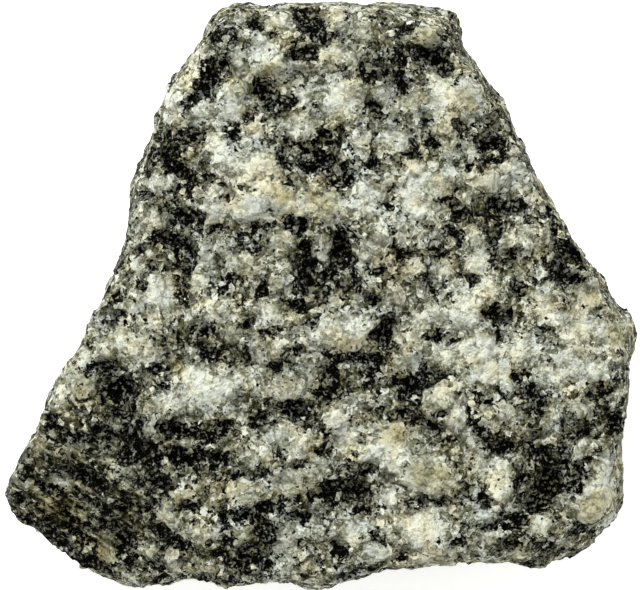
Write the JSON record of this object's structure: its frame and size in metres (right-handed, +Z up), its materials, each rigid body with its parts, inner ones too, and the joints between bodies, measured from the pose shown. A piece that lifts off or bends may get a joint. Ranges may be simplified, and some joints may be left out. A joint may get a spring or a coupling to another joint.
{
  "type": "granite specimen",
  "caption": "Hand specimen of speckled grey granite: a thick broken slab with a rough front face, ragged edges and one narrow end.",
  "frame": {"origin": "middle of the bounding box, on the surface the stone lies on", "axes": "+Z up out of the front face, +Y towards the narrow end, +X to the right of the picture"},
  "size_m": [0.088, 0.082, 0.0348],
  "materials": {
    "granite": "matte"
  },
  "bodies": {
    "root": {"granite_specimen": "granite"}
  },
  "joints": []
}
